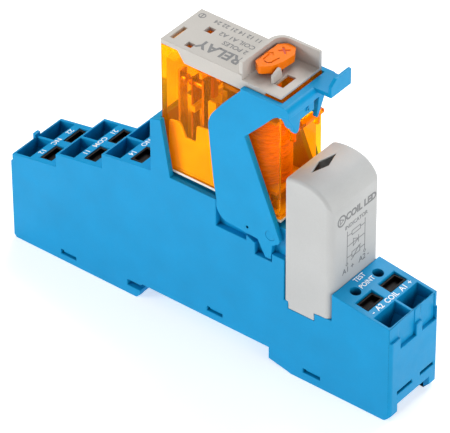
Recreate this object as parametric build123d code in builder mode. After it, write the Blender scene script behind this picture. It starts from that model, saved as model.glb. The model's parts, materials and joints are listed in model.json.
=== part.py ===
from build123d import *
import os
from collections import namedtuple
from math import atan2, cos, sin

# Plug-in relay in a DIN-rail socket with push-in terminals, a retaining and ejecting clip and a
# plug-in coil indicator module.  Millimetres, +Z away from the rail, +X towards the coil
# terminals, origin under the middle of the socket.  Places are given as the distance from the
# left end, the distance from the front face and the height above the rail foot.

# Socket
socket_length = 98.6
socket_width = 15.8
side_wall = 1.4
end_ledge_height = 20.0
corner_radius = 0.8
seat_height = 35.0
bay_floor_height = 16.6

# DIN rail recess, for a 35 mm top-hat rail
rail_recess_left = 31.0
rail_recess_right = 67.95
rail_seat_height = 4.02
rail_flange_slot = (2.1, 3.55)
base_top = 5.5

# Terminals: one push-in clamp design, repeated at three tiers and at the coil end
front_row = 4.15
back_row = 11.65
rows = (front_row, back_row)
tier_edges = ((0.44, 21.9), (12.5, 27.3), (24.9, 33.0))
tier_slope = 0.182
coil_end_edge = (98.05, 23.5)
coil_end_slope = 0.139
funnel_depth = 4.5
funnel_step = 2.4
funnel_mouth = (0.5, 4.4)
funnel_width = 6.8
wire_hole_radius = 1.3
wire_hole_inset = 2.6
ceiling_depth = 6.4
pivot_depth = 8.4
pivot_inset = 11.2
tongue_reach = 9.1
tongue_drop = 2.6
tongue_thickness = 0.4
tongue_width = 3.6
release_slot = (6.4, 9.6)
release_slot_width = 5.4
probe_hole_radius = 1.2
probe_hole_place = 86.5
snap_windows = (((13.0, 17.1), (1.6, 2.8)), ((52.1, 56.1), (5.8, 6.9)), ((76.8, 81.0), (2.0, 3.1)))

# Conductors
sheet = 0.8
run_height = 1.3
contact_places = {"no": 43.6, "common": 51.2, "nc": 58.8, "coil": 66.0}
module_contact_place = 76.2
relay_receptacle = (27.0, 33.0)
module_receptacle = (9.5, 14.8)
blade_width = 2.5
blade_thickness = 0.5

# Relay
relay_left = 39.9
relay_right = 69.9
relay_front = 1.4
relay_back = 14.4
relay_bottom = 35.9
cover_bottom = 36.5
cover_top = 66.4
cover_step = 64.0
cover_shelf = 65.9
cover_wall = 0.9
cap_top = 67.56
cap_floor = 66.45
cap_rim_top = 70.5
coil_centre = (62.1, 7.9)
contact_height = 58.5

# Clip
clip_pivot = (68.3, 32.8)
clip_pin_radius = 1.1
clip_hole_radius = 1.16
clip_arm = 1.3

# Module
module_left = 71.9
module_right = 83.68
module_wall = 1.2
module_edge_radius = 0.8
module_corner_radius = 1.7
lamp_place = (75.5, 7.9)

os.makedirs("parts", exist_ok=True)


def side_plane(from_front=0.0):
    """Plane facing the front: distance from the left end, and height."""
    origin = (-socket_length / 2, from_front - socket_width / 2, 0)
    return Plane(origin=origin, x_dir=(1, 0, 0), z_dir=(0, -1, 0))


def top_plane(height):
    """Plane facing up: distance from the left end, and distance from the front."""
    return Plane(origin=(-socket_length / 2, -socket_width / 2, height))


def end_plane(from_left):
    """Plane facing the coil end: distance from the front, and height."""
    origin = (from_left - socket_length / 2, -socket_width / 2, 0)
    return Plane(origin=origin, x_dir=(0, 1, 0), z_dir=(1, 0, 0))


def place(from_left, from_front, height):
    """A point of the part's own frame."""
    return (from_left - socket_length / 2, from_front - socket_width / 2, height)


def block(along, across, heights, mode=Mode.ADD):
    """Box in the active part between two distances along, across and up."""
    size = [abs(high - low) for low, high in (along, across, heights)]
    middle = [(high + low) / 2 for low, high in (along, across, heights)]
    with Locations(place(*middle)):
        Box(*size, mode=mode)


def post(from_left, from_front, heights, radius, mode=Mode.ADD):
    """Upright cylinder in the active part."""
    with Locations(place(from_left, from_front, sum(heights) / 2)):
        Cylinder(radius, heights[1] - heights[0], mode=mode)


def cross_pin(from_left, height, across, radius, mode=Mode.ADD):
    """Cylinder lying across the socket in the active part."""
    with Locations(Location(place(from_left, sum(across) / 2, height), (90, 0, 0))):
        Cylinder(radius, abs(across[1] - across[0]), mode=mode)


def long_pin(along, from_front, height, radius, mode=Mode.ADD):
    """Cylinder lying along the socket in the active part."""
    with Locations(Location(place(sum(along) / 2, from_front, height), (0, 90, 0))):
        Cylinder(radius, abs(along[1] - along[0]), mode=mode)


def save(piece, name):
    """Label a finished piece and write it."""
    piece.label = name
    export_step(piece, f"parts/{name}.step")


# ------------------------------------------------------------------ terminals
Terminal = namedtuple("Terminal", "name row edge inward height slope")
contact_names = (("12", "22"), ("11", "21"), ("14", "24"))
terminals = []
for (edge, edge_height), names in zip(tier_edges, contact_names):
    for name, row in zip(names, rows):
        terminals.append(Terminal(name, row, edge, 1, edge_height, tier_slope))
for name, row in zip(("a2", "a1"), rows):
    terminals.append(Terminal(name, row, coil_end_edge[0], -1, coil_end_edge[1], coil_end_slope))


def inward(terminal, inset):
    """Distance from the left end of a point some way in from a terminal's outer edge."""
    return terminal.edge + terminal.inward * inset


def band(terminal, near, far):
    """Two distances from the left end, in rising order, for two insets."""
    return tuple(sorted((inward(terminal, near), inward(terminal, far))))


def span(middle, width):
    """Range of a given width about its middle."""
    return (middle - width / 2, middle + width / 2)


# ------------------------------------------------------------- socket housing
socket_outline = (
    (0.6, 0.0), (33.4, 0.0), (34.4, 1.0), (34.4, rail_flange_slot[0]),
    (rail_recess_left, rail_flange_slot[0]), (rail_recess_left, rail_flange_slot[1]),
    (34.5, rail_flange_slot[1]), (35.0, rail_seat_height), (rail_recess_right, rail_seat_height),
    (rail_recess_right, 1.25), (72.8, 0.2), (73.4, 0.0), (97.2, 0.0), (socket_length, 1.4),
    (socket_length, end_ledge_height), (98.05, end_ledge_height), (98.05, 23.5), (83.72, 25.5),
    (83.72, 18.85), (79.45, 18.45), (79.45, bay_floor_height), (72.88, bay_floor_height),
    (72.88, 18.4), (71.85, 18.4), (71.85, 35.4), (42.9, 35.4), (40.6, 48.7), (37.9, 47.9),
    (37.9, 34.9), (24.9, 33.0), (24.9, 29.5), (12.5, 27.3), (12.5, 24.1), (0.44, 21.9),
    (0.44, end_ledge_height), (0.0, end_ledge_height), (0.0, 0.6),
)
clip_recess_outline = (
    (54.65, 37.0), (54.65, 28.9), (62.3, 28.9), (62.3, 30.2), (64.5, 29.2), (64.5, 26.4),
    (68.75, 26.4), (68.75, 28.4), (73.0, 28.4), (73.0, 37.0),
)
left_channel_outline = (
    (1.39, 5.4), (1.39, 15.5), (13.4, 15.5), (13.4, 20.9), (25.8, 20.9), (25.8, 26.6),
    (39.4, 26.6), (39.4, 5.4),
)
coil_channel_outline = ((84.0, 5.4), (84.0, 15.0), (85.2, 17.1), (97.1, 17.1), (97.1, 5.4))
channel_fronts = (side_wall, 8.6)
channel_width = 5.8

with BuildPart() as socket_housing:
    with BuildSketch(side_plane()):
        with BuildLine():
            Polyline(*socket_outline, close=True)
        make_face()
    extrude(amount=-socket_width)
    # Round the upright corners of the coil end
    with BuildSketch(top_plane(0)) as plan:
        with Locations((socket_length / 2, socket_width / 2)):
            Rectangle(socket_length, socket_width)
        fillet(plan.vertices().group_by(Axis.X)[-1], corner_radius)
    extrude(amount=relay_bottom + 20, mode=Mode.INTERSECT)
    # Seat between the side plates of the post and the rims of the relay platform
    block((39.75, 71.9), (1.3, 14.5), (seat_height, 49.0), mode=Mode.SUBTRACT)
    # Side recesses that the clip's arms swing in
    for side in (side_plane(), side_plane(socket_width - side_wall)):
        with BuildSketch(side):
            with BuildLine():
                Polyline(*clip_recess_outline, close=True)
            make_face()
        extrude(amount=-side_wall, mode=Mode.SUBTRACT)
    # Notches under the relay for the clip's ejector lugs
    for across in ((1.3, 2.95), (12.85, 14.5)):
        block((54.6, 59.2), across, (33.9, 36.0), mode=Mode.SUBTRACT)
    # Clip pivot pins, flush with the arms
    cross_pin(*clip_pivot, (0.05, side_wall + 0.1), clip_pin_radius)
    cross_pin(*clip_pivot, (socket_width - side_wall - 0.1, socket_width - 0.05), clip_pin_radius)
    # Open base pocket, then the channels and the contact chamber above it
    block((1.39, 97.1), (side_wall, socket_width - side_wall), (-0.5, base_top), mode=Mode.SUBTRACT)
    for front in channel_fronts:
        for outline in (left_channel_outline, coil_channel_outline):
            with BuildSketch(side_plane(front)):
                with BuildLine():
                    Polyline(*outline, close=True)
                make_face()
            extrude(amount=-channel_width, mode=Mode.SUBTRACT)
    block((38.8, 71.0), (side_wall, socket_width - side_wall), (5.4, 26.0), mode=Mode.SUBTRACT)
    block((41.6, 70.2), (2.7, socket_width - 2.7), (25.9, 33.3), mode=Mode.SUBTRACT)
    block((70.9, 84.1), (side_wall, socket_width - side_wall), (5.4, 15.0), mode=Mode.SUBTRACT)
    # Opening under the coil end wall, over the rail latch
    block((96.9, 99.0), (2.6, socket_width - 2.6), (-0.5, 3.3), mode=Mode.SUBTRACT)
    # Blade slots through the relay platform and the module bay floor
    for row in rows:
        for contact in contact_places.values():
            block(span(contact, 3.0), span(row, 1.0), (33.0, 35.5), mode=Mode.SUBTRACT)
        block(span(module_contact_place, 2.6), span(row, 1.0), (14.5, 17.0), mode=Mode.SUBTRACT)
    # Wire funnels, wire holes and release slots
    for terminal in terminals:
        block(band(terminal, *funnel_mouth), span(terminal.row, funnel_width),
              (terminal.height - funnel_step, terminal.height + 0.9), mode=Mode.SUBTRACT)
        with BuildSketch(top_plane(terminal.height - funnel_step)):
            with Locations((inward(terminal, sum(funnel_mouth) / 2), terminal.row)):
                Rectangle(funnel_mouth[1] - funnel_mouth[0], funnel_width)
        with BuildSketch(top_plane(terminal.height - funnel_depth)):
            with Locations((inward(terminal, wire_hole_inset), terminal.row)):
                Rectangle(2 * wire_hole_radius, 2 * wire_hole_radius)
        loft(mode=Mode.SUBTRACT)
        post(inward(terminal, wire_hole_inset), terminal.row,
             (terminal.height - ceiling_depth - 0.1, terminal.height - funnel_depth + 0.1),
             wire_hole_radius, mode=Mode.SUBTRACT)
        block(band(terminal, *release_slot), span(terminal.row, release_slot_width),
              (terminal.height - ceiling_depth - 0.1, terminal.height + 3.0), mode=Mode.SUBTRACT)
    # Half-round ribs in the outer corners of the coil end's funnels
    for row in rows:
        post(coil_end_edge[0] - 0.85, row - 3.15, (18.6, coil_end_edge[1] - 0.7), 0.6)
    # Probe holes of the coil terminals
    for row in rows:
        post(probe_hole_place, row, (16.9, 26.0), probe_hole_radius, mode=Mode.SUBTRACT)
    # Snap windows for the rail base, through both side walls
    for along, heights in snap_windows:
        block(along, (-0.1, socket_width + 0.1), heights, mode=Mode.SUBTRACT)
    # Marker pockets and finger grooves of the coil end
    for across in ((3.2, 8.4), (10.4, 15.0)):
        block((97.85, 99.0), across, (17.2, 24.5), mode=Mode.SUBTRACT)
    for across in ((2.4, 7.4), (10.1, 14.5)):
        block((97.6, 99.0), across, (5.8, 6.6), mode=Mode.SUBTRACT)
    # Marker lug on the contact end
    block((0.06, 0.9), (7.1, 8.7), (19.0, 22.9))
save(socket_housing.part, "socket_housing")

# ------------------------------------------------------------------ rail base
base_outline = (
    (1.45, 0.6), (2.05, 0.0), (33.35, 0.0), (34.3, 0.95), (34.3, rail_flange_slot[0]),
    (rail_recess_left, rail_flange_slot[0]), (rail_recess_left, rail_flange_slot[1]),
    (34.5, rail_flange_slot[1]), (35.0, rail_seat_height), (97.05, rail_seat_height),
    (97.05, base_top), (1.45, base_top),
)
base_front = 1.45
base_back = socket_width - 1.45
spring_post = (90.5, 92.0)

with BuildPart() as rail_base:
    with BuildSketch(side_plane(base_front)):
        with BuildLine():
            Polyline(*base_outline, close=True)
        make_face()
    extrude(amount=-(base_back - base_front))
    # Snap lugs that click into the housing's windows, the outer two standing on tabs
    for across, tab in (((0.5, 1.6), (1.45, 2.45)), ((14.2, 15.3), (13.35, 14.35))):
        for (left, right), (low, high) in snap_windows:
            block((left + 0.3, right - 0.3), across, (low + 0.25, high - 0.15))
        block((52.4, 55.8), tab, (5.4, 7.4))
        block((77.1, 80.7), tab, (1.6, 4.1))
    # Combs that hold the conductors apart and pads that they lie on
    for comb, top in ((19.0, 10.9), (31.0, 14.3), (47.0, 14.3), (69.0, 7.6), (84.0, 7.6)):
        for row in rows:
            for side in (-0.85, 0.85):
                block(span(comb, 1.4), span(row + side, 0.8), (base_top, top))
    for pad in (6.0, 25.0, 37.0, 73.0, 91.0):
        block(span(pad, 2.0), span(front_row, 2.4), (base_top, base_top + 0.3))
        block(span(pad, 2.0), span(back_row, 2.4), (base_top, base_top + 0.3))
    # Stop that the latch spring pushes against
    block(spring_post, (5.2, 10.6), (0.9, 4.1))
save(rail_base.part, "rail_base")

# ----------------------------------------------------------------- rail latch
latch_outline = (
    (66.7, 2.1), (66.7, 1.75), (68.3, 0.3), (95.7, 0.3), (95.7, 2.3), (93.6, 2.3), (93.0, 3.3),
    (69.2, 3.3), (69.2, 2.1),
)
latch_window = (79.0, 92.6)

with BuildPart() as rail_latch:
    with BuildSketch(side_plane(2.75)):
        with BuildLine():
            Polyline(*latch_outline, close=True)
        make_face()
    extrude(amount=-(socket_width - 2 * 2.75))
    block(latch_window, (4.4, 11.4), (0.0, 4.0), mode=Mode.SUBTRACT)
    # Screwdriver slot in the pull tab
    block((93.6, 94.8), (5.4, 10.4), (0.0, 4.0), mode=Mode.SUBTRACT)
save(rail_latch.part, "rail_latch")

spring_turns = 11
spring_ends = (latch_window[0] + 0.05, spring_post[0] - 0.05)
with BuildPart() as rail_latch_spring:
    pitch = (spring_ends[1] - spring_ends[0] - 0.4) / spring_turns
    with BuildSketch(top_plane(1.2)):
        with BuildLine():
            zigzag = [(spring_ends[0] + 0.2, 10.4)]
            for turn in range(spring_turns):
                across = 5.4 if turn % 2 == 0 else 10.4
                zigzag.append((spring_ends[0] + 0.2 + (turn + 0.5) * pitch, across))
            zigzag.append((spring_ends[1] - 0.2, 10.4))
            Polyline(*zigzag)
            offset(amount=0.2)
        make_face()
    extrude(amount=1.6)
save(rail_latch_spring.part, "rail_latch_spring")

# ------------------------------------------------------------------- busbars
run_heights = {
    "12": 5.8, "22": 5.8, "11": 9.4, "21": 9.4, "14": 12.9, "24": 12.9, "a1": 5.8, "a2": 5.8,
}
contact_of = {
    "12": "nc", "22": "nc", "11": "common", "21": "common", "14": "no", "24": "no",
    "a1": "coil", "a2": "coil",
}


def receptacle(from_left, row, heights, depth):
    """Forked contact in the active part, with a slot for a blade."""
    block(span(from_left, 3.0), span(row, 1.9), heights)
    block(span(from_left, 3.2), span(row, blade_thickness + 0.1),
          (heights[1] - depth, heights[1] + 0.1), mode=Mode.SUBTRACT)


for terminal in terminals:
    run_low = run_heights[terminal.name]
    run_high = run_low + run_height
    contact = contact_places[contact_of[terminal.name]]
    with BuildPart() as busbar:
        block(band(terminal, 0.95, 1.7), span(terminal.row, 3.8),
              (run_low, terminal.height - pivot_depth + 0.5))
        far_side = contact + terminal.inward * 1.0
        block(sorted((inward(terminal, 0.95), far_side)), span(terminal.row, sheet),
              (run_low, run_high))
        block(span(contact, 2.0), span(terminal.row, sheet), (run_low, relay_receptacle[0] + 0.1))
        receptacle(contact, terminal.row, relay_receptacle, 4.8)
        if terminal.inward < 0:
            block(span(module_contact_place, 2.0), span(terminal.row, sheet),
                  (run_low, module_receptacle[0] + 0.1))
            receptacle(module_contact_place, terminal.row, module_receptacle, 4.4)
    save(busbar.part, f"busbar_{terminal.name}")

# ---------------------------------------------- clamp springs, tongues, buttons
tongue_angle = atan2(tongue_drop, tongue_reach)
tongue_length = tongue_reach / cos(tongue_angle)
root_strip = (11.75, 12.05)
button_rim = 0.1
pocket_depth = 1.1

with BuildPart() as clamp_springs:
    for terminal in terminals:
        pivot = terminal.height - pivot_depth
        run_high = run_heights[terminal.name] + run_height
        width = span(terminal.row, tongue_width)
        block(band(terminal, *root_strip), width, (run_high, pivot + 0.9))
        block(band(terminal, 10.7, root_strip[1]), width, (pivot + 0.6, pivot + 0.9))
        block(band(terminal, 10.9, root_strip[1]), width, (run_high, run_high + 0.3))
save(clamp_springs.part, "clamp_springs")

for terminal in terminals:
    pivot = terminal.height - pivot_depth
    drop = sin(tongue_angle)
    reach = terminal.inward * cos(tongue_angle)
    half = tongue_thickness / 2
    pivot_along = inward(terminal, pivot_inset)
    tip = (pivot_along - reach * tongue_length, pivot - drop * tongue_length)
    normal = (-terminal.inward * drop * half, cos(tongue_angle) * half)
    with BuildPart() as tongue:
        with BuildSketch(side_plane(terminal.row - tongue_width / 2)):
            with BuildLine():
                Polyline(
                    (pivot_along + normal[0], pivot + normal[1]),
                    (tip[0] + normal[0], tip[1] + normal[1]),
                    (tip[0] - normal[0], tip[1] - normal[1]),
                    (pivot_along - normal[0], pivot - normal[1]),
                    close=True,
                )
            make_face()
            with Locations((pivot_along, pivot)):
                Circle(0.45)
        extrude(amount=-tongue_width)
    save(tongue.part, f"clamp_tongue_{terminal.name}")

    ceiling = terminal.height - ceiling_depth
    button_top = terminal.height + release_slot[0] * terminal.slope - button_rim
    with BuildPart() as release_button:
        block(band(terminal, 6.5, 9.5), span(terminal.row, 5.2), (pivot + 1.0, button_top))
        # Nose over the tongue and shoulder under the chamber ceiling
        block(band(terminal, 6.5, 7.2), span(terminal.row, 3.0), (pivot - 0.83, pivot + 1.1))
        block(band(terminal, 9.4, 10.1), span(terminal.row, 3.6), (pivot + 1.0, ceiling - 0.05))
        # Screwdriver pocket
        block(band(terminal, 7.0, 9.0), span(terminal.row, 4.2),
              (button_top - pocket_depth, button_top + 0.1), mode=Mode.SUBTRACT)
    save(release_button.part, f"release_button_{terminal.name}")

# ------------------------------------------------------------------------ clip
hook_side = (
    (70.3, 63.5), (70.3, 59.7), (70.7, 59.2), (71.5, 59.2), (71.5, 58.3), (72.6, 58.3), (72.6, 63.5),
)
hook_ends = (
    ((0.2, 63.5), (0.2, 63.0), (1.6, 60.6), (2.3, 58.6), (2.7, 58.3), (3.3, 58.3), (3.7, 58.7),
     (4.1, 61.0), (4.2, 63.5)),
    ((10.1, 63.5), (9.3, 58.5), (9.5, 58.3), (9.9, 58.4), (12.1, 62.8), (12.1, 63.5)),
)
with BuildPart() as retaining_clip:
    for front in (0.0, socket_width - clip_arm):
        with BuildSketch(side_plane(front)):
            with BuildLine():
                Polyline((60.9, 64.9), (56.4, 59.8), (53.9, 56.5))
                ThreePointArc((53.9, 56.5), (53.0, 54.6), (52.84, 52.3))
                Polyline((52.84, 52.3), (53.3, 47.1), (54.0, 40.0), (54.75, 35.4))
                ThreePointArc((54.75, 35.4), (55.2, 32.6), (56.9, 31.2))
                Polyline((56.9, 31.2), (62.3, 30.66), (65.1, 30.5), (67.1, 26.9), (68.5, 26.9),
                         (68.85, 30.5), (69.9, 31.2))
                ThreePointArc((69.9, 31.2), (70.55, 31.95), (70.6, 32.9))
                Polyline((70.6, 32.9), (62.0, 54.35), (66.3, 58.9), (68.8, 61.7))
                ThreePointArc((68.8, 61.7), (70.5, 62.75), (72.8, 63.2))
                Polyline((72.8, 63.2), (72.8, 64.3), (71.6, 65.5), (60.9, 65.5), (60.9, 64.9))
            make_face()
        extrude(amount=-clip_arm)
    # Bar across the end of the relay, with its front edge rounded
    with BuildSketch(side_plane()):
        with BuildLine():
            Polyline((70.3, 62.4), (72.8, 63.2), (72.8, 64.3))
            ThreePointArc((72.8, 64.3), (72.4, 65.15), (71.6, 65.5))
            Polyline((71.6, 65.5), (70.3, 65.5), (70.3, 62.4))
        make_face()
    extrude(amount=-socket_width)
    # Hooks over the ledge of the relay's cover, and the plate between them with its ring boss
    for hook_end in hook_ends:
        with BuildPart(mode=Mode.PRIVATE) as hook:
            with BuildSketch(side_plane()):
                with BuildLine():
                    Polyline(*hook_side, close=True)
                make_face()
            extrude(amount=-socket_width)
            with BuildSketch(end_plane(70.0)):
                with BuildLine():
                    Polyline(*hook_end, close=True)
                make_face()
            extrude(amount=3.0, mode=Mode.INTERSECT)
        add(hook.part)
    block((71.6, 72.6), (4.0, 8.5), (60.9, 63.4))
    long_pin((72.5, 72.8), 6.3, 62.2, 0.55)
    long_pin((72.5, 72.9), 6.3, 62.2, 0.25, mode=Mode.SUBTRACT)
    # Finger tab with an upturned lip, on the back half of the bar
    block((71.4, 76.2), (9.1, 15.6), (64.6, 65.5))
    with BuildSketch(end_plane(75.4)):
        with BuildLine():
            Polyline((9.1, 64.6), (15.6, 64.6), (15.6, 68.4), (10.8, 68.4), (9.1, 67.2), close=True)
        make_face()
    extrude(amount=0.8)
    # Ejector lugs under the relay's base
    block((55.2, 57.2), (clip_arm - 0.1, 2.7), (34.3, 35.55))
    block((55.2, 57.2), (13.1, socket_width - clip_arm + 0.1), (34.3, 35.55))
    # Pivot holes
    cross_pin(*clip_pivot, (-0.1, socket_width + 0.1), clip_hole_radius, mode=Mode.SUBTRACT)
    # Small oblong eye near the foot of each arm
    for across in ((-0.1, clip_arm + 0.1), (socket_width - clip_arm - 0.1, socket_width + 0.1)):
        cross_pin(62.6, 32.3, across, 0.35, mode=Mode.SUBTRACT)
save(retaining_clip.part, "retaining_clip")

# ---------------------------------------------------------------- relay shell
guard_outline = (
    (41.0, 36.8), (41.0, 47.5), (41.4, 47.9), (43.7, 48.3), (44.2, 47.8), (45.4, 45.2), (47.8, 45.2),
    (48.1, 49.0), (48.4, 49.4), (51.1, 49.7), (51.1, 56.7), (51.5, 57.1), (53.2, 57.1), (53.2, 36.8),
)
with BuildPart() as relay_base:
    block((relay_left + 0.05, relay_right), (relay_front + 0.05, relay_back - 0.05),
          (relay_bottom, cover_bottom))
    block((relay_left + cover_wall + 0.05, relay_right - cover_wall - 0.05),
          (relay_front + cover_wall + 0.05, relay_back - cover_wall - 0.05), (cover_bottom, 36.9))
    # Feet on the platform
    for foot in (41.6, 68.4):
        for row in (3.0, 12.8):
            post(foot, row, (seat_height, relay_bottom), 0.6)
    for row in rows:
        for contact in contact_places.values():
            block(span(contact, blade_width + 0.06), span(row, blade_thickness + 0.06), (35.0, 37.0),
                  mode=Mode.SUBTRACT)
    # Barrier between the two poles, and guards in front of and behind the contacts
    block((41.2, 52.4), (7.6, 8.2), (36.8, 51.0))
    for guard_front in (2.4, 12.9):
        with BuildSketch(side_plane(guard_front)):
            with BuildLine():
                Polyline(*guard_outline, close=True)
            make_face()
        extrude(amount=-0.5)
save(relay_base.part, "relay_base")

cover_outline = (
    (relay_left, cover_bottom), (relay_right, cover_bottom), (relay_right, cover_shelf), (66.2, cover_shelf),
    (64.9, cover_step), (45.8, cover_step), (44.1, cover_top), (relay_left, cover_top),
)
cap_windows = (((45.0, 46.7), (8.7, 10.5)), ((45.0, 46.6), (2.5, 4.0)))
with BuildPart() as relay_cover:
    with BuildSketch(side_plane(relay_front)):
        with BuildLine():
            Polyline(*cover_outline, close=True)
        make_face()
    extrude(amount=-(relay_back - relay_front))
    block((relay_left + cover_wall, relay_right - cover_wall),
          (relay_front + cover_wall, relay_back - cover_wall), (cover_bottom - 1, cover_step - 1.0),
          mode=Mode.SUBTRACT)
    # Lenses that stand in the cap's two small windows
    for along, across in cap_windows:
        block((along[0] + 0.05, along[1] - 0.05), (across[0] + 0.05, across[1] - 0.05),
              (cover_step - 0.5, cap_top - 0.7))
    # Ledge that the clip's hooks hold down, on two ribs
    block((relay_right, 71.6), (3.6, 13.2), (57.0, 58.0))
    for across in ((4.2, 5.0), (11.8, 12.6)):
        block((relay_right, 71.0), across, (54.4, 57.1))
    # Passage for the test button's stem
    post(63.4, 7.9, (62.0, 67.0), 1.5, mode=Mode.SUBTRACT)
save(relay_cover.part, "relay_cover")

cap_outline = (
    (relay_left, cover_top), (44.1, cover_top), (45.8, cover_step), (64.9, cover_step),
    (66.2, cover_shelf), (relay_right, cover_shelf), (relay_right, cap_top), (relay_left, cap_top),
)
recess_left = 60.3
with BuildPart() as relay_cap:
    with BuildSketch(side_plane(relay_front)):
        with BuildLine():
            Polyline(*cap_outline, close=True)
        make_face()
    extrude(amount=-(relay_back - relay_front))
    # Sunken floor round the test button
    block((recess_left, 71.0), (1.0, 15.0), (cap_floor, 68.0), mode=Mode.SUBTRACT)
    # Rim round two sides of the sunken floor
    with BuildSketch(top_plane(cap_floor)):
        with BuildLine():
            Line((59.3, 1.6), (59.3, 11.2))
            RadiusArc((59.3, 11.2), (62.5, relay_back), 3.2)
            Line((62.5, relay_back), (relay_right, relay_back))
            Line((relay_right, relay_back), (relay_right, 13.6))
            Line((relay_right, 13.6), (62.7, 13.6))
            RadiusArc((62.7, 13.6), (60.3, 11.2), -2.4)
            Line((60.3, 11.2), (60.3, 1.6))
            Line((60.3, 1.6), (59.3, 1.6))
        make_face()
    extrude(amount=cap_rim_top - cap_floor)
    # Break-off pip beside the test button
    with BuildSketch(end_plane(65.3)):
        with BuildLine():
            Polyline((4.1, cap_floor), (4.1, 68.2), (6.1, 69.1), (6.5, 68.9), (6.9, 67.5),
                     (6.9, cap_floor), close=True)
        make_face()
    extrude(amount=0.65)
    # Window through the floor and passage for the test button's stem
    block((66.0, 68.1), (4.3, 8.4), (63.5, 67.0), mode=Mode.SUBTRACT)
    post(63.4, 7.9, (62.0, 67.0), 1.5, mode=Mode.SUBTRACT)
    # Flag window, small window and marking slot
    for along, across in cap_windows:
        block(along, across, (63.0, 68.0), mode=Mode.SUBTRACT)
    block((41.0, 41.9), (3.0, 7.4), (66.0, 68.0), mode=Mode.SUBTRACT)
save(relay_cap.part, "relay_cap")

button_outline = (
    (61.0, 4.6), (61.0, 11.8), (62.5, 13.35), (64.5, 13.1), (65.75, 11.0), (65.5, 7.8), (64.6, 5.2),
    (62.8, 3.5),
)
button_heights = (67.8, 69.55)
mark_depth = 0.2
with BuildPart() as test_button:
    with BuildSketch(top_plane(button_heights[0])):
        with BuildLine():
            Polyline(*button_outline, close=True)
        make_face()
        fillet(vertices(), 0.7)
    extrude(amount=button_heights[1] - button_heights[0])
    post(63.4, 7.9, (62.4, 67.9), 1.35)
    # Sunken cross on the finger end and bent arrow on the other end
    with BuildSketch(top_plane(button_heights[1])):
        with Locations((63.3, 10.9)):
            Rectangle(2.3, 0.4, rotation=40)
            Rectangle(2.3, 0.4, rotation=-40)
        with BuildLine():
            Polyline((61.9, 8.5), (61.9, 6.6))
            RadiusArc((61.9, 6.6), (63.9, 6.6), -1.0)
            Line((63.9, 6.6), (64.1, 8.2))
            offset(amount=0.17)
        make_face()
        with Locations((61.9, 8.6)):
            Triangle(a=1.2, b=0.95, c=0.95)
    extrude(amount=-mark_depth, mode=Mode.SUBTRACT)
save(test_button.part, "test_button")

# -------------------------------------------------------------- relay contacts
blade_bottom = 28.6
contact_top = 60.6
fixed_contact_width = 2.3
moving_contact_width = 2.2


def contact_blade(from_left, row, top):
    """Plug blade in the active part, up to a height above the relay's base."""
    block(span(from_left, blade_width), span(row, blade_thickness), (blade_bottom, top))


with BuildPart() as fixed_contacts_no:
    for row in rows:
        contact_blade(contact_places["no"], row, 37.2)
        block((43.1, 44.85), span(row, 1.0), (37.0, 37.4))
        block((43.1, 43.6), span(row, fixed_contact_width), (37.0, contact_top))
        long_pin((43.5, 44.65), row, contact_height, 0.95)
save(fixed_contacts_no.part, "fixed_contacts_no")

with BuildPart() as fixed_contacts_nc:
    for row in rows:
        contact_blade(contact_places["nc"], row, 38.9)
        block((49.1, 60.05), span(row, 1.0), (38.7, 39.15))
        block((49.1, 49.6), span(row, fixed_contact_width), (38.7, contact_top))
        long_pin((47.55, 49.2), row, contact_height, 0.95)
save(fixed_contacts_nc.part, "fixed_contacts_nc")

with BuildPart() as common_terminals:
    for row in rows:
        contact_blade(contact_places["common"], row, 37.9)
        block((46.2, 52.4), span(row, 1.0), (37.7, 38.2))
        block((46.2, 46.9), span(row, 2.0), (37.7, 38.6))
save(common_terminals.part, "common_terminals")

for pole, row in zip(("1", "2"), rows):
    with BuildPart() as moving_contact:
        block((46.4, 46.7), span(row, moving_contact_width), (39.0, contact_top - 0.6))
        cross_pin(46.55, 39.0, span(row, moving_contact_width), 0.3)
        long_pin((45.6, 47.5), row, contact_height, 0.9)
    save(moving_contact.part, f"moving_contact_{pole}")

with BuildPart() as coil_pins:
    for row, tab in zip(rows, ((2.5, front_row), (back_row, 13.3))):
        contact_blade(contact_places["coil"], row, 38.9)
        block(span(contact_places["coil"], 1.2), tab, (38.3, 38.9))
        wire_row = tab[0] if row == front_row else tab[1]
        block(span(contact_places["coil"], 1.2), span(wire_row, 0.4), (38.3, 41.5))
save(coil_pins.part, "coil_pins")

# ------------------------------------------------------------- relay magnet
flange_bottom = (40.4, 41.2)
flange_top = (57.4, 58.2)
core_radius = 2.2
with BuildPart() as coil_bobbin:
    for heights in (flange_bottom, flange_top):
        block(span(coil_centre[0], 10.8), span(coil_centre[1], 9.2), heights)
    post(*coil_centre, (flange_bottom[1], flange_top[0]), core_radius + 0.7)
    post(*coil_centre, (flange_bottom[0] - 0.5, flange_top[1] + 0.5), core_radius, mode=Mode.SUBTRACT)
save(coil_bobbin.part, "coil_bobbin")

turns = 25
turn_height = (flange_top[0] - flange_bottom[1]) / turns
winding_radius = 4.45
with BuildPart() as coil_winding:
    # One ridge for each turn of the outer layer
    with BuildSketch(side_plane(coil_centre[1])):
        with BuildLine():
            groove = coil_centre[0] + winding_radius - 0.2
            for turn in range(turns):
                low = flange_bottom[1] + turn * turn_height
                ThreePointArc((groove, low), (groove + 0.2, low + turn_height / 2),
                              (groove, low + turn_height))
            tube = coil_centre[0] + core_radius + 0.7
            Polyline((groove, flange_top[0]), (tube, flange_top[0]), (tube, flange_bottom[1]),
                     (groove, flange_bottom[1]))
        make_face()
    revolve(axis=Axis(place(*coil_centre, 0), (0, 0, 1)))
save(coil_winding.part, "coil_winding")

with BuildPart() as coil_core:
    post(*coil_centre, (39.3, 58.3), core_radius)
    post(*coil_centre, (58.2, 59.0), 3.1)
save(coil_core.part, "coil_core")

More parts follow.
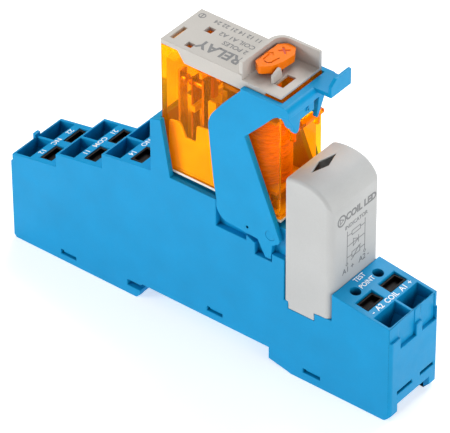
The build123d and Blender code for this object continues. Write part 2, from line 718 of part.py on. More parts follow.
with BuildPart() as yoke:
    block((53.6, 67.4), (3.9, 11.9), (39.3, 40.4))
    block((53.6, 54.8), (3.9, 11.9), (39.3, 59.9))
    post(*coil_centre, (39.0, 41.0), core_radius, mode=Mode.SUBTRACT)
save(yoke.part, "yoke")

with BuildPart() as armature:
    block((53.7, 66.4), (4.4, 11.4), (60.1, 61.1))
    block((51.6, 53.8), (6.6, 9.2), (60.1, 61.1))
    block((51.6, 52.4), (6.6, 9.2), (51.8, 61.1))
save(armature.part, "armature")

with BuildPart() as armature_spring:
    for across in ((4.6, 6.2), (9.6, 11.2)):
        block((53.0, 53.3), across, (50.0, 61.7))
        block((53.0, 57.0), across, (61.4, 61.7))
    block((53.0, 53.3), (4.6, 11.2), (46.0, 50.5))
    # Rivet to the yoke
    long_pin((52.7, 53.6), 7.9, 48.2, 0.9)
save(armature_spring.part, "armature_spring")

card_heights = (52.3, 53.7)
with BuildPart() as pusher_card:
    block((47.6, 51.5), (6.6, 9.2), card_heights)
    block((46.75, 47.65), (2.6, 13.2), card_heights)
save(pusher_card.part, "pusher_card")

with BuildPart() as indicator_flag:
    block((48.0, 48.8), (7.2, 8.6), (card_heights[1], 61.9))
    block((44.4, 48.8), (7.4, 10.9), (61.8, 62.4))
save(indicator_flag.part, "indicator_flag")

# ---------------------------------------------------------------------- module
module_crown = ((module_right, 43.0), (79.0, 49.15), (module_left, 48.8))
with BuildPart() as module_cover:
    with BuildSketch(side_plane()) as outline:
        with BuildLine():
            Polyline((module_left, 18.48), (72.95, 18.48), (72.95, 16.68), (79.38, 16.68),
                     (79.38, 18.5), (module_right, 18.92), module_crown[0])
            shoulder = TangentArc(module_crown[0], module_crown[1], tangent=(0, 1))
            TangentArc(module_crown[1], module_crown[2], tangent=shoulder % 1)
            Line(module_crown[2], (module_left, 18.48))
        make_face()
        fillet(outline.vertices().group_by(Axis.X)[0].sort_by(Axis.Y)[-1], 1.1)
    extrude(amount=-socket_width)
    # Wide upright corners towards the coil end, and narrow rounding of every other side edge
    side_edges = [
        edge for edge in module_cover.edges()
        if edge.center().Z > 25 and abs(abs(edge.center().Y) - socket_width / 2) < 0.01
    ]
    fillet(side_edges, module_edge_radius)
    with BuildSketch(top_plane(0)) as plan:
        with Locations((module_right / 2, socket_width / 2)):
            Rectangle(module_right, socket_width)
        fillet(plan.vertices().group_by(Axis.X)[-1], module_corner_radius)
    extrude(amount=cover_top, mode=Mode.INTERSECT)
    block((73.1, 82.5), (module_wall, socket_width - module_wall), (15.0, 44.8), mode=Mode.SUBTRACT)
    # Diamond opening for the light pipe
    with BuildSketch(top_plane(44.0)):
        with Locations(lamp_place):
            Polygon((-1.17, 0), (0, 3.85), (1.17, 0), (0, -3.85), align=None)
    extrude(amount=7.0, mode=Mode.SUBTRACT)
save(module_cover.part, "module_cover")

with BuildPart() as module_lens:
    with BuildSketch(top_plane(44.9)):
        with Locations(lamp_place):
            Polygon((-1.11, 0), (0, 3.65), (1.11, 0), (0, -3.65), align=None)
    extrude(amount=4.3)
save(module_lens.part, "module_lens")

with BuildPart() as module_base:
    block((73.15, 82.45), (1.25, 14.55), (18.95, 20.3))
    for row in rows:
        block(span(module_contact_place, 2.06), span(row, blade_thickness + 0.06), (18.0, 21.0),
              mode=Mode.SUBTRACT)
save(module_base.part, "module_base")

with BuildPart() as module_pins:
    for row in rows:
        block(span(module_contact_place, 2.0), span(row, blade_thickness), (10.8, 21.6))
save(module_pins.part, "module_pins")

with BuildPart() as module_board:
    block((79.9, 80.7), (2.0, 13.8), (20.4, 43.5))
save(module_board.part, "module_board")

with BuildPart() as module_varistor:
    long_pin((75.6, 78.6), 7.9, 30.5, 3.6)
    for row in (5.6, 10.2):
        long_pin((77.5, 79.9), row, 29.0, 0.3)
save(module_varistor.part, "module_varistor")

with BuildPart() as module_resistor:
    cross_pin(78.4, 37.2, (4.6, 11.2), 1.1)
    for row in (4.9, 10.9):
        long_pin((78.6, 79.9), row, 37.2, 0.3)
save(module_resistor.part, "module_resistor")

with BuildPart() as module_diode:
    cross_pin(78.6, 23.9, (5.9, 9.9), 0.95)
    for row in (6.2, 9.6):
        long_pin((78.8, 79.9), row, 23.9, 0.25)
save(module_diode.part, "module_diode")

with BuildPart() as module_lamp:
    post(*lamp_place, (41.2, 43.6), 1.4)
    with Locations(place(*lamp_place, 43.6)):
        Sphere(1.2)
    for row in (7.2, 8.6):
        long_pin((lamp_place[0], 79.9), row, 41.7, 0.25)
save(module_lamp.part, "module_lamp")
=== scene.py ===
"""Looks for a plug-in relay in its DIN-rail socket: finishes, softened edges, printing, light and camera."""
import json
from math import cos, pi, radians, sin

import bpy
from mathutils import Matrix, Vector
from mathutils.bvhtree import BVHTree


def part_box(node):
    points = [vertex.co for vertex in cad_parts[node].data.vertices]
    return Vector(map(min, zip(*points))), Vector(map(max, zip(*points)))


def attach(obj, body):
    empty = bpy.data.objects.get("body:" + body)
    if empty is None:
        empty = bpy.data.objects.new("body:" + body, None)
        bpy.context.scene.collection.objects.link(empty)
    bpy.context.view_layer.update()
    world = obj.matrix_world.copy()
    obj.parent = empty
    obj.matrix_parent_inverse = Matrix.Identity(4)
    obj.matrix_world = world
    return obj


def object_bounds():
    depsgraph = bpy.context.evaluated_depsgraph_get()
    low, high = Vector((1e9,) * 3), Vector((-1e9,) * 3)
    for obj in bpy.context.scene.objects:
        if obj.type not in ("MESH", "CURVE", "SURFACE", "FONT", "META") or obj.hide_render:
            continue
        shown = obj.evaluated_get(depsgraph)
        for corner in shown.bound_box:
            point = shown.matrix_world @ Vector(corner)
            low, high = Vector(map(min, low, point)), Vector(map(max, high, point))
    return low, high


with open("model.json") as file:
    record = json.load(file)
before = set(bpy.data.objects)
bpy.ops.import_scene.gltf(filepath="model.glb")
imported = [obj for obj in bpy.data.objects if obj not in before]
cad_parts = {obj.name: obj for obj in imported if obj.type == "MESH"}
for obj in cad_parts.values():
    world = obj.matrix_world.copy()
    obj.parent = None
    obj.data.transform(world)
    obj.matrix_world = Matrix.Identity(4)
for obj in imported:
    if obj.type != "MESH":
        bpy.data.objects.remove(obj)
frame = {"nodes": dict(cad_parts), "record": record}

cad_low, cad_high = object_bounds()
MM = 0.001
nodes = frame["nodes"]
slot_of_node = {part["node"]: part["material_slot"] for part in frame["record"]["subparts"]}


def srgb(red, green, blue):
    """A colour given as 0 to 255 per channel, as linear light."""
    channels = (red / 255, green / 255, blue / 255)
    return tuple(c / 12.92 if c <= 0.04045 else ((c + 0.055) / 1.055) ** 2.4 for c in channels) + (1.0,)


# ------------------------------------------------------------------ finishes
class Finish:
    """A procedural material whose patterns are measured in metres, on the part itself."""

    def __init__(self, name):
        self.material = bpy.data.materials.new(name)
        self.material.use_nodes = True
        self.tree = self.material.node_tree
        self.shader = self.tree.nodes["Principled BSDF"]
        self.output = self.tree.nodes["Material Output"]
        self.place = self.tree.nodes.new("ShaderNodeTexCoord").outputs["Object"]

    def node(self, kind, **settings):
        made = self.tree.nodes.new(kind)
        for key, value in settings.items():
            setattr(made, key, value)
        return made

    def link(self, source, target):
        self.tree.links.new(source, target)

    def noise(self, size, detail=3.0, stretch=(1, 1, 1)):
        """Noise with features of about this size, longer along an axis where stretch is under 1."""
        mapping = self.node("ShaderNodeMapping")
        mapping.inputs["Scale"].default_value = stretch
        self.link(self.place, mapping.inputs["Vector"])
        noise = self.node("ShaderNodeTexNoise")
        noise.inputs["Scale"].default_value = 1 / size
        noise.inputs["Detail"].default_value = detail
        self.link(mapping.outputs["Vector"], noise.inputs["Vector"])
        return noise.outputs["Fac"]

    def between(self, factor, low, high):
        """The factor, from its usual 0.3 to 0.7, spread over low to high."""
        spread = self.node("ShaderNodeMapRange")
        spread.inputs["From Min"].default_value = 0.3
        spread.inputs["From Max"].default_value = 0.7
        spread.inputs["To Min"].default_value = low
        spread.inputs["To Max"].default_value = high
        self.link(factor, spread.inputs["Value"])
        return spread.outputs["Result"]

    def mix(self, factor, first, second):
        blend = self.node("ShaderNodeMix", data_type="RGBA")
        for value, socket in ((factor, blend.inputs[0]), (first, blend.inputs[6]), (second, blend.inputs[7])):
            if isinstance(value, bpy.types.NodeSocket):
                self.link(value, socket)
            else:
                socket.default_value = value
        return blend.outputs[2]

    def colour(self, source):
        self.link(source, self.shader.inputs["Base Color"])

    def roughness(self, source):
        self.link(source, self.shader.inputs["Roughness"])

    def relief(self, height, depth, strength=1.0, below=None):
        bump = self.node("ShaderNodeBump")
        bump.inputs["Distance"].default_value = depth
        bump.inputs["Strength"].default_value = strength
        self.link(height, bump.inputs["Height"])
        if below is not None:
            self.link(below, bump.inputs["Normal"])
        self.link(bump.outputs["Normal"], self.shader.inputs["Normal"])
        return bump.outputs["Normal"]

    def set(self, **values):
        for key, value in values.items():
            self.shader.inputs[key.replace("_", " ").title().replace("Ior", "IOR")].default_value = value


def shaded(colour, share):
    return tuple(channel * share for channel in colour[:3]) + (1.0,)


def moulded(name, colour, gloss=(0.32, 0.46), depth=0.004 * MM, depth_of_tone=0.05, recess_shade=0.16):
    """Injection-moulded plastic: slow shifts of tone, eroded grain, faint flow marks, and painted shade that
    darkens its recesses.
    """
    finish = Finish(name)
    slow = finish.noise(9 * MM, 2.0)
    speckle = finish.noise(0.35 * MM, 2.0)
    darker, lighter = shaded(colour, 1 - depth_of_tone), shaded(colour, 1 + depth_of_tone)
    tone = finish.mix(finish.between(slow, 0, 1), darker, lighter)
    tone = finish.mix(finish.between(speckle, 0, 0.12), tone, shaded(colour, 0.75))
    # Painted shade: where the part's own ambient occlusion within 5 mm is strong, the colour is darkened
    # towards a set share of itself.
    recess_shade_ao = finish.node("ShaderNodeAmbientOcclusion", samples=8, only_local=True)
    recess_shade_ao.inputs["Distance"].default_value = 5 * MM
    reach = finish.node("ShaderNodeMapRange")
    reach.inputs["From Min"].default_value = 0.1
    reach.inputs["From Max"].default_value = 0.5
    finish.link(recess_shade_ao.outputs["AO"], reach.inputs["Value"])
    finish.colour(finish.mix(reach.outputs["Result"], shaded(colour, recess_shade), tone))
    finish.roughness(finish.between(finish.noise(2.2 * MM, 4.0), *gloss))
    flow = finish.relief(finish.noise(5 * MM, 1.0, (0.35, 1, 1)), 0.03 * MM, 0.25)
    finish.relief(finish.noise(0.16 * MM, 2.0), depth, 0.8, below=flow)
    finish.set(specular_ior_level=0.14)
    return finish.material


def rolled_metal(name, colour, gloss=(0.18, 0.34), along=(0.08, 1, 1)):
    """Strip metal: fine rolling lines along one axis and uneven tarnish."""
    finish = Finish(name)
    lines = finish.noise(0.14 * MM, 3.0, along)
    tarnish = finish.noise(1.8 * MM, 4.0)
    finish.colour(finish.mix(finish.between(tarnish, 0, 1), shaded(colour, 0.78), colour))
    finish.roughness(finish.between(lines, *gloss))
    finish.relief(lines, 0.003 * MM, 0.7)
    finish.set(metallic=1.0)
    return finish.material


def clear_amber(name):
    """Clear tinted plastic with a faint painted glow, an emission standing in for light carried through the
    cover. Lamps shine through it.
    """
    finish = Finish(name)
    tint = (1.0, 0.56, 0.0, 1.0)
    deep = (1.0, 0.44, 0.0, 1.0)
    tone = finish.mix(finish.between(finish.noise(7 * MM, 2.0), 0, 1), deep, tint)
    finish.colour(tone)
    finish.roughness(finish.between(finish.noise(1.6 * MM, 3.0), 0.03, 0.09))
    finish.relief(finish.noise(3.5 * MM, 1.0, (1, 1, 0.3)), 0.05 * MM, 0.35)
    finish.set(transmission_weight=0.94, ior=1.12, specular_ior_level=0.2)
    # Painted glow: a faint red-orange emission lifts the cover's shaded parts.
    finish.set(emission_color=(1.0, 0.17, 0.0, 1.0), emission_strength=0.05)
    open_to_lamps = finish.node("ShaderNodeBsdfTransparent")
    open_to_lamps.inputs["Color"].default_value = (1.0, 0.88, 0.5, 1.0)
    chooser = finish.node("ShaderNodeMixShader")
    finish.link(finish.node("ShaderNodeLightPath").outputs["Is Shadow Ray"], chooser.inputs["Fac"])
    finish.link(finish.shader.outputs["BSDF"], chooser.inputs[1])
    finish.link(open_to_lamps.outputs["BSDF"], chooser.inputs[2])
    finish.link(chooser.outputs["Shader"], finish.output.inputs["Surface"])
    return finish.material


def enamelled_wire(name):
    finish = Finish(name)
    sheen = finish.noise(0.5 * MM, 3.0, (0.3, 0.3, 1))
    finish.colour(finish.mix(finish.between(sheen, 0, 1), srgb(206, 120, 70), srgb(244, 164, 104)))
    finish.roughness(finish.between(sheen, 0.3, 0.45))
    finish.relief(finish.noise(0.2 * MM, 1.0), 0.003 * MM, 0.4)
    finish.set(metallic=0.4)
    return finish.material


def laminate(name):
    """Circuit board: solder mask over woven glass, with tracks showing through."""
    finish = Finish(name)
    weave = finish.node("ShaderNodeTexWave", wave_type="BANDS", bands_direction="Y")
    weave.inputs["Scale"].default_value = 1 / (0.9 * MM)
    weave.inputs["Distortion"].default_value = 3.0
    finish.link(finish.place, weave.inputs["Vector"])
    tracks = finish.between(finish.noise(2.4 * MM, 0.0, (1, 1, 0.2)), 0, 1)
    green = finish.mix(weave.outputs["Fac"], srgb(18, 84, 42), srgb(26, 104, 54))
    finish.colour(finish.mix(tracks, green, srgb(44, 132, 66)))
    finish.roughness(finish.between(finish.noise(0.8 * MM), 0.25, 0.4))
    finish.relief(weave.outputs["Fac"], 0.01 * MM, 0.4)
    return finish.material


def painted(name, colour):
    """Pad-printed ink, thin at places."""
    finish = Finish(name)
    worn = finish.between(finish.noise(0.3 * MM, 4.0), 0, 0.25)
    finish.colour(finish.mix(worn, colour, shaded(colour, 0.7)))
    finish.roughness(finish.between(finish.noise(0.5 * MM), 0.45, 0.6))
    finish.relief(finish.noise(0.1 * MM, 1.0), 0.002 * MM, 0.5)
    return finish.material


# Each moulded finish below carries painted shade in its recesses; relay_white and base_white take a lighter
# one.
slots = {
    "socket_blue": moulded("socket_blue", srgb(8, 144, 199)),
    "clip_blue": moulded("clip_blue", srgb(8, 147, 202), gloss=(0.3, 0.44)),
    "relay_white": moulded("relay_white", srgb(194, 190, 184), gloss=(0.34, 0.5), depth_of_tone=0.03,
                           recess_shade=0.55),
    "module_grey": moulded("module_grey", srgb(188, 189, 188), gloss=(0.36, 0.52), depth_of_tone=0.03),
    "test_orange": moulded("test_orange", srgb(252, 124, 0), gloss=(0.25, 0.4)),
    "button_black": moulded("button_black", srgb(12, 8, 8), gloss=(0.4, 0.55)),
    "bobbin_plastic": moulded("bobbin_plastic", srgb(228, 216, 190)),
    "card_plastic": moulded("card_plastic", srgb(236, 232, 222)),
    "flag_plastic": moulded("flag_plastic", srgb(240, 150, 30)),
    "varistor_blue": moulded("varistor_blue", srgb(24, 60, 132), gloss=(0.15, 0.3)),
    "resistor_body": moulded("resistor_body", srgb(196, 172, 128), gloss=(0.2, 0.35)),
    "diode_black": moulded("diode_black", srgb(24, 24, 26), gloss=(0.2, 0.35)),
    "lamp_green": moulded("lamp_green", srgb(60, 170, 70), gloss=(0.1, 0.2)),
    "lens_dark": moulded("lens_dark", srgb(26, 24, 22), gloss=(0.08, 0.16), depth=0.001 * MM),
    "amber_cover": clear_amber("amber_cover"),
    "spring_steel": rolled_metal("spring_steel", srgb(196, 196, 198)),
    "contact_alloy": rolled_metal("contact_alloy", srgb(226, 196, 148), along=(1, 1, 0.08)),
    "contact_bronze": rolled_metal("contact_bronze", srgb(198, 132, 72), along=(1, 1, 0.08)),
    "soft_iron": rolled_metal("soft_iron", srgb(172, 170, 166), gloss=(0.3, 0.46), along=(1, 1, 0.2)),
    "copper_winding": enamelled_wire("copper_winding"),
    "circuit_board": laminate("circuit_board"),
}
base_white = moulded("base_white", srgb(250, 246, 236), gloss=(0.3, 0.45), depth_of_tone=0.03, recess_shade=0.7)
white_ink = painted("white_ink", srgb(238, 242, 246))
# Darker orange for the painted shade in the test button's sunken cross.
cross_shade_orange = painted("cross_shade_orange", srgb(206, 62, 2))
grey_ink = painted("grey_ink", srgb(122, 123, 124))


# ------------------------------------------------------------ softened edges
def node_group(name):
    """An empty geometry group with its way in and way out."""
    group = bpy.data.node_groups.new(name, "GeometryNodeTree")
    group.interface.new_socket("Geometry", in_out="INPUT", socket_type="NodeSocketGeometry")
    group.interface.new_socket("Geometry", in_out="OUTPUT", socket_type="NodeSocketGeometry")
    way_in = group.nodes.new("NodeGroupInput").outputs[0]
    way_out = group.nodes.new("NodeGroupOutput").inputs[0]
    return group, way_in, way_out


def joined_mesh_group():
    """Joins the shells of the imported mesh at their shared edges and makes every face smooth."""
    group, way_in, way_out = node_group("joined_mesh")
    plain = group.nodes.new("GeometryNodeRemoveAttribute")
    plain.inputs["Name"].default_value = "custom_normal"
    merge = group.nodes.new("GeometryNodeMergeByDistance")
    merge.inputs["Distance"].default_value = 0.002 * MM
    smooth = group.nodes.new("GeometryNodeSetShadeSmooth")
    group.links.new(way_in, plain.inputs[0])
    group.links.new(plain.outputs[0], merge.inputs[0])
    group.links.new(merge.outputs[0], smooth.inputs[0])
    group.links.new(smooth.outputs[0], way_out)
    return group


def edge_angle(group, signed):
    angle = group.nodes.new("GeometryNodeInputMeshEdgeAngle")
    return angle.outputs["Signed Angle" if signed else "Unsigned Angle"]


def over(group, source, limit):
    compare = group.nodes.new("FunctionNodeCompare")
    compare.operation = "GREATER_THAN"
    compare.inputs[1].default_value = limit
    group.links.new(source, compare.inputs[0])
    return compare.outputs[0]


def outer_edges_group():
    """Marks the outward edges that are long enough to round off."""
    group, way_in, way_out = node_group("outer_edges")
    ends = group.nodes.new("GeometryNodeInputMeshEdgeVertices")
    length = group.nodes.new("ShaderNodeVectorMath")
    length.operation = "DISTANCE"
    group.links.new(ends.outputs["Position 1"], length.inputs[0])
    group.links.new(ends.outputs["Position 2"], length.inputs[1])
    both = group.nodes.new("FunctionNodeBooleanMath")
    group.links.new(over(group, edge_angle(group, True), radians(35)), both.inputs[0])
    group.links.new(over(group, length.outputs["Value"], 0.3 * MM), both.inputs[1])
    store = group.nodes.new("GeometryNodeStoreNamedAttribute")
    store.domain = "EDGE"
    store.inputs["Name"].default_value = "bevel_weight_edge"
    group.links.new(way_in, store.inputs["Geometry"])
    group.links.new(both.outputs[0], store.inputs["Value"])
    group.links.new(store.outputs[0], way_out)
    return group


def crisp_edges_group():
    """Keeps the shading sharp across edges that turn by more than 40 degrees."""
    group, way_in, way_out = node_group("crisp_edges")
    sharp = group.nodes.new("GeometryNodeSetShadeSmooth")
    sharp.domain = "EDGE"
    sharp.inputs["Shade Smooth"].default_value = False
    group.links.new(way_in, sharp.inputs["Geometry"])
    group.links.new(over(group, edge_angle(group, False), radians(40)), sharp.inputs["Selection"])
    group.links.new(sharp.outputs[0], way_out)
    return group


joined_mesh = joined_mesh_group()
outer_edges = outer_edges_group()
crisp_edges = crisp_edges_group()


def add_group(piece, name, group):
    piece.modifiers.new(name, "NODES").node_group = group


def soften(piece, width):
    """Rounds a moulding's outward edges, as its mould does."""
    add_group(piece, "joined", joined_mesh)
    flat = piece.modifiers.new("flat_faces", "DECIMATE")
    flat.decimate_type = "DISSOLVE"
    flat.angle_limit = radians(0.3)
    if width:
        add_group(piece, "outer_edges", outer_edges)
        bevel = piece.modifiers.new("rounded_edges", "BEVEL")
        bevel.limit_method = "WEIGHT"
        bevel.offset_type = "WIDTH"
        bevel.width = width
        bevel.segments = 2
        bevel.use_clamp_overlap = False
    add_group(piece, "crisp_edges", crisp_edges)
    piece.modifiers.new("even_shading", "WEIGHTED_NORMAL").keep_sharp = True


edge_width = {
    "socket_blue": 0.25 * MM, "clip_blue": 0.25 * MM, "relay_white": 0.2 * MM, "module_grey": 0.3 * MM,
    "amber_cover": 0.3 * MM, "test_orange": 0.25 * MM, "button_black": 0.2 * MM, "bobbin_plastic": 0.15 * MM,
}
for node, piece in nodes.items():
    slot = slot_of_node[node]
    piece.data.materials.clear()
    piece.data.materials.append(base_white if node == "relay_base" else slots[slot])
    soften(piece, edge_width.get(slot, 0.0))


# ------------------------------------------------------------------ printing
ink_depth = 0.03 * MM
overprint = 0.0005 * MM
stripe_gap = 1.1 * MM
stripe_text = 1.75 * MM
line_width = 0.16 * MM


def surface_of(node):
    mesh = nodes[node].data
    return BVHTree.FromPolygons([v.co for v in mesh.vertices], [tuple(p.vertices) for p in mesh.polygons])


def sheet_at(surface, start, towards, reading):
    """The place on a surface below start, with its reading direction, its up direction and its normal."""
    place, normal, _, _ = surface.ray_cast(Vector(start), Vector(towards))
    if normal.dot(Vector(towards)) > 0:
        normal = -normal
    across = (Vector(reading) - normal * normal.dot(Vector(reading))).normalized()
    upward = normal.cross(across)
    return Matrix((across, upward, normal)).transposed().to_4x4(), place


def lettering(text, size, weight=0.012):
    """Thin solid letters, centred on the origin, as (vertices, faces)."""
    curve = bpy.data.curves.new("letters", "FONT")
    curve.body = text
    curve.size = size
    curve.align_x = "CENTER"
    curve.align_y = "CENTER"
    curve.extrude = ink_depth / 2
    curve.offset = size * weight
    curve.resolution_u = 3
    holder = bpy.data.objects.new("letters", curve)
    bpy.context.scene.collection.objects.link(holder)
    bpy.context.view_layer.update()
    mesh = bpy.data.meshes.new_from_object(holder.evaluated_get(bpy.context.evaluated_depsgraph_get()))
    points = [v.co.copy() for v in mesh.vertices]
    faces = [tuple(p.vertices) for p in mesh.polygons]
    bpy.data.objects.remove(holder)
    bpy.data.meshes.remove(mesh)
    bpy.data.curves.remove(curve)
    return points, faces


def ruled(corners, width, closed):
    """A thin solid line through the corners, mitred where it turns, as one mark."""
    places = [Vector(corner) for corner in corners]
    count = len(places)
    points = []
    for i, place in enumerate(places):
        before = places[i - 1] if closed or i else place * 2 - places[1]
        after = places[(i + 1) % count] if closed or i < count - 1 else place * 2 - places[i - 1]
        arriving, leaving = (place - before).normalized(), (after - place).normalized()
        mitre = Vector((-arriving.y - leaving.y, arriving.x + leaving.x)).normalized()
        reach = mitre * (width / 2 / mitre.dot(Vector((-arriving.y, arriving.x))))
        for edge, level in ((reach, -1), (-reach, -1), (-reach, 1), (reach, 1)):
            points.append(Vector((*(place + edge), level * ink_depth / 2)))
    faces = []
    for i in range(count if closed else count - 1):
        here, there = 4 * i, 4 * ((i + 1) % count)
        faces += [(here + k, there + k, there + (k + 1) % 4, here + (k + 1) % 4) for k in range(4)]
    if not closed:
        last = 4 * (count - 1)
        faces += [(0, 1, 2, 3), (last + 3, last + 2, last + 1, last)]
    return points, faces


def printed(name, sheet, marks, ink, body):
    """One printed piece: marks are (x, y, (points, faces)) on the sheet, each a hair above the last."""
    turn, place = sheet
    points, faces = [], []
    for order, (x, y, (mark_points, mark_faces)) in enumerate(marks):
        first = len(points)
        height = ink_depth * 0.3 + order * overprint
        points += [place + turn @ (p + Vector((x, y, height))) for p in mark_points]
        faces += [tuple(first + i for i in face) for face in mark_faces]
    mesh = bpy.data.meshes.new(name)
    mesh.from_pydata(points, [], faces)
    mesh.materials.append(ink)
    piece = bpy.data.objects.new(name, mesh)
    bpy.context.scene.collection.objects.link(piece)
    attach(piece, body)
    return piece


housing = surface_of("socket_housing")
down = (0, 0, -1)
high = cad_high.z + 10 * MM


def row_middle():
    low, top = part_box("socket_housing")
    return (low.y + top.y) / 2


def terminal_stripe(name, near, beyond, marks, reading):
    """White lettering between a pair of funnels and their release slots."""
    low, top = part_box(near)
    edge = low.x - stripe_gap if beyond < 0 else top.x + stripe_gap
    sheet = sheet_at(housing, (edge, row_middle(), high), down, reading)
    words = [(x * MM, 0, lettering(text, stripe_text)) for x, text in marks]
    return printed(name, sheet, words, white_ink, "socket")


for tier, (near, texts) in enumerate((
        ("release_button_12", ("12", "NC", "22")),
        ("release_button_11", ("11", "COM", "21")),
        ("release_button_14", ("14", "NO", "24")))):
    terminal_stripe(f"tier_marks_{tier + 1}", near, -1, list(zip((4.4, 0, -4.4), texts)), (0, -1, 0))
terminal_stripe("coil_marks", "release_button_a1", 1,
                [(-6.1, "-"), (-3.9, "A2"), (0, "COIL"), (3.9, "A1"), (6.1, "+")], (0, 1, 0))


def loop(corners, width):
    """A ruled line round a closed outline."""
    return [(0, 0, ruled(corners, width, closed=True))]


def chain(points, width):
    """A ruled line from point to point."""
    return [(0, 0, ruled(points, width, closed=False))]


def ring(x, y, radius, width, sides=24):
    angles = [2 * pi * i / sides for i in range(sides)]
    return loop([(x + radius * cos(angle), y + radius * sin(angle)) for angle in angles], width)


def in_mm(points):
    """Points given in millimetres, in metres."""
    return [(x * MM, y * MM) for x, y in points]


def probe_marks():
    low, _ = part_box("release_button_a1")
    sheet = sheet_at(housing, (low.x - 2.3 * MM, row_middle(), high), down, (0, 1, 0))
    marks = [(0, 0.95 * MM, lettering("TEST", 1.5 * MM)), (0, -0.95 * MM, lettering("POINT", 1.5 * MM))]
    printed("probe_marks", sheet, marks, white_ink, "socket")


def module_marks():
    """Heading, wiring symbol and terminal names on the face above the coil terminals."""
    low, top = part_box("module_cover")
    start = (top.x + 5 * MM, row_middle(), low.z + 18.6 * MM)
    sheet = sheet_at(surface_of("module_cover"), start, (-1, 0, 0), (0, 1, 0))
    marks = [(1.5 * MM, 6.6 * MM, lettering("COIL LED", 2.3 * MM, 0.045)),
             (0, 4.0 * MM, lettering("INDICATOR", 1.35 * MM)),
             (0, -6.7 * MM, lettering("A1 +   A2 -", 1.9 * MM))]
    marks += ring(-4.8 * MM, 6.6 * MM, 1.2 * MM, 0.36 * MM)
    marks += loop(in_mm([(-5.3, 6.0), (-5.3, 7.2), (-4.2, 6.6)]), 0.2 * MM)
    # Two supply lines, a resistor, a lamp diode and a varistor across them
    marks += chain(in_mm([(-2.9, -5.0), (-2.9, 2.9)]), line_width)
    marks += chain(in_mm([(2.9, -5.0), (2.9, 2.9)]), line_width)
    marks += chain(in_mm([(-2.9, 1.7), (-1.4, 1.7)]), line_width)
    marks += chain(in_mm([(1.4, 1.7), (2.9, 1.7)]), line_width)
    marks += loop(in_mm([(-1.4, 1.2), (1.4, 1.2), (1.4, 2.2), (-1.4, 2.2)]), line_width)
    marks += chain(in_mm([(-2.9, -0.9), (2.9, -0.9)]), line_width)
    marks += loop(in_mm([(-0.9, -1.8), (-0.9, 0.0), (0.8, -0.9)]), line_width)
    marks += chain(in_mm([(0.8, -1.8), (0.8, 0.0)]), line_width)
    marks += chain(in_mm([(-2.9, -3.7), (-1.3, -3.7)]), line_width)
    marks += chain(in_mm([(1.3, -3.7), (2.9, -3.7)]), line_width)
    marks += loop(in_mm([(-1.3, -4.3), (1.3, -4.3), (1.3, -3.1), (-1.3, -3.1)]), line_width)
    marks += chain(in_mm([(-1.6, -5.0), (-0.8, -4.6), (0.9, -2.8), (1.6, -2.8)]), line_width)
    marks += ring(-2.9 * MM, -5.3 * MM, 0.3 * MM, line_width, 12)
    marks += ring(2.9 * MM, -5.3 * MM, 0.3 * MM, line_width, 12)
    printed("module_marks", sheet, marks, grey_ink, "module")


def cap_marks():
    """Plain lettering on top of the relay, read from the back."""
    low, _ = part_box("relay_cap")
    sheet = sheet_at(surface_of("relay_cap"), (low.x + 11.6 * MM, row_middle(), high), down, (-1, 0, 0))
    marks = [(-0.6 * MM, 3.0 * MM, lettering("RELAY", 3.7 * MM, 0.03)),
             (-2.0 * MM, 0.0, lettering("2 POLES", 1.7 * MM)),
             (-0.9 * MM, -2.1 * MM, lettering("COIL A1 A2", 1.7 * MM)),
             (0.9 * MM, -4.7 * MM, lettering("11 12 14 21 22 24", 1.6 * MM))]
    marks += ring(9.9 * MM, -4.6 * MM, 0.7 * MM, 0.2 * MM, 16)
    marks += chain(in_mm([(9.9, -5.3), (9.9, -3.9)]), 0.2 * MM)
    printed("cap_marks", sheet, marks, grey_ink, "relay")


def cross_shade_marks():
    """Darker orange in the sunken cross of the test button: painted shade."""
    low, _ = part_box("test_button")
    cross = (low.x + 2.3 * MM, low.y + 7.22 * MM)
    sheet = sheet_at(surface_of("test_button"), (*cross, high), down, (1, 0, 0))
    reach, rise, stroke = 0.8 * MM, 0.67 * MM, 0.34 * MM
    marks = chain([(-reach, -rise), (reach, rise)], stroke) + chain([(-reach, rise), (reach, -rise)], stroke)
    printed("cross_shade_marks", sheet, marks, cross_shade_orange, "test_button")


probe_marks()
cross_shade_marks()
module_marks()
cap_marks()


# --------------------------------------------------------------- light, floor
def lamp(name, place, aim, width, height, power):
    light = bpy.data.lights.new(name, "AREA")
    light.shape = "RECTANGLE"
    light.size = width
    light.size_y = height
    light.energy = power
    holder = bpy.data.objects.new(name, light)
    holder.location = place
    holder.rotation_euler = (Vector(aim) - Vector(place)).to_track_quat("-Z", "Y").to_euler()
    bpy.context.scene.collection.objects.link(holder)


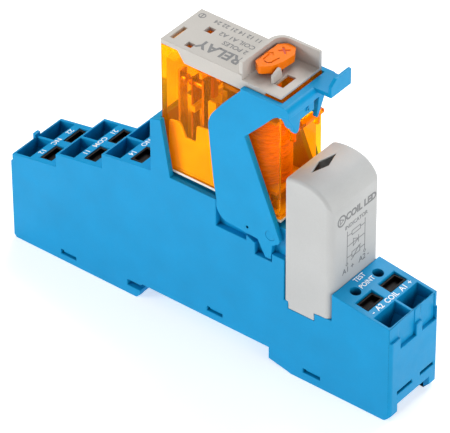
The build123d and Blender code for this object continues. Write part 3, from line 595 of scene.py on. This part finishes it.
def studio():
    world = bpy.data.worlds.new("studio")
    world.use_nodes = True
    world.node_tree.nodes["Background"].inputs["Color"].default_value = (1, 1, 1, 1)
    world.node_tree.nodes["Background"].inputs["Strength"].default_value = 0.3
    bpy.context.scene.world = world
    middle = (cad_low + cad_high) / 2
    lamp("high_back", (-0.15, 0.75, 0.95), middle, 0.8, 0.8, 12.5)
    lamp("low_front", (-0.75, -0.8, 0.3), middle, 0.5, 0.5, 7.4)
    lamp("low_right", (1.0, -0.1, 0.35), middle, 0.8, 0.6, 4.6)


def floor():
    mesh = bpy.data.meshes.new("floor")
    half = 3.0
    corners = [(-half, -half, 0), (half, -half, 0), (half, half, 0), (-half, half, 0)]
    mesh.from_pydata(corners, [], [(0, 1, 2, 3)])
    finish = Finish("floor")
    patches = finish.between(finish.noise(0.2), 0, 1)
    finish.colour(finish.mix(patches, (0.8, 0.8, 0.8, 1), (0.83, 0.83, 0.83, 1)))
    finish.set(roughness=0.9, specular_ior_level=0.1, emission_color=(1, 1, 1, 1), emission_strength=0.55)
    mesh.materials.append(finish.material)
    piece = bpy.data.objects.new("floor", mesh)
    piece.location.z = cad_low.z - 0.02 * MM
    bpy.context.scene.collection.objects.link(piece)


def camera():
    """The photograph's viewpoint: azimuth, elevation and roll in degrees, distance and target in metres."""
    azimuth, elevation, roll = radians(38.54), radians(37.69), radians(0.33)
    target, distance = Vector((0.001815, 0, 0.024786)), 0.82018
    back = Vector((sin(azimuth) * cos(elevation), -cos(azimuth) * cos(elevation), sin(elevation)))
    level = Vector((cos(azimuth), sin(azimuth), 0))
    downward = (-back).cross(level)
    right = level * cos(roll) + downward * sin(roll)
    upward = level * sin(roll) - downward * cos(roll)
    data = bpy.data.cameras.new("camera")
    data.lens = 324.1
    data.sensor_width = 36.0
    data.shift_x = -0.0037
    data.shift_y = -0.001
    holder = bpy.data.objects.new("camera", data)
    turn = Matrix((right, upward, back)).transposed().to_4x4()
    holder.matrix_world = Matrix.Translation(target + back * distance) @ turn
    bpy.context.scene.collection.objects.link(holder)
    bpy.context.scene.camera = holder


studio()
floor()
camera()
bpy.context.scene.view_settings.view_transform = "Standard"
